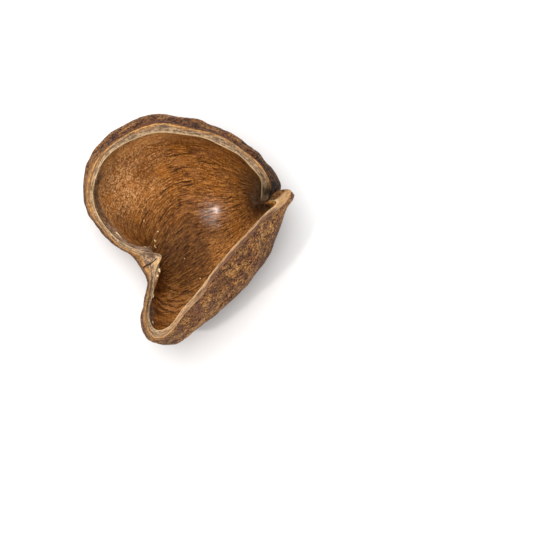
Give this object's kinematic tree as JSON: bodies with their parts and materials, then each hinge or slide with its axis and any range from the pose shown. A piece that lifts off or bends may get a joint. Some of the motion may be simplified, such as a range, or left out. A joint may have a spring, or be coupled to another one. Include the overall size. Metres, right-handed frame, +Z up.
{
  "type": "sterculia pod",
  "caption": "Opened woody seed pod: a broad cupped valve and a standing one joined along their back, with a pale rim, a fibrous lining and a warty husk.",
  "frame": {"origin": "the middle of the small flat spot on the husk's back that the pod rests on", "axes": "+Z up, out of the pod's mouth; the pod's stalk end and tip point to +X, its wide lying valve to -X and +Y, and its standing valve to +X and -Y; +Y is the longest side"},
  "size_m": [0.0878, 0.0961, 0.0628],
  "materials": {
    "husk": "dry woody husk, matt and warty outside, brown fibrous lining with a low sheen, pale rim"
  },
  "bodies": {
    "root": {"pod": "husk"}
  },
  "joints": []
}
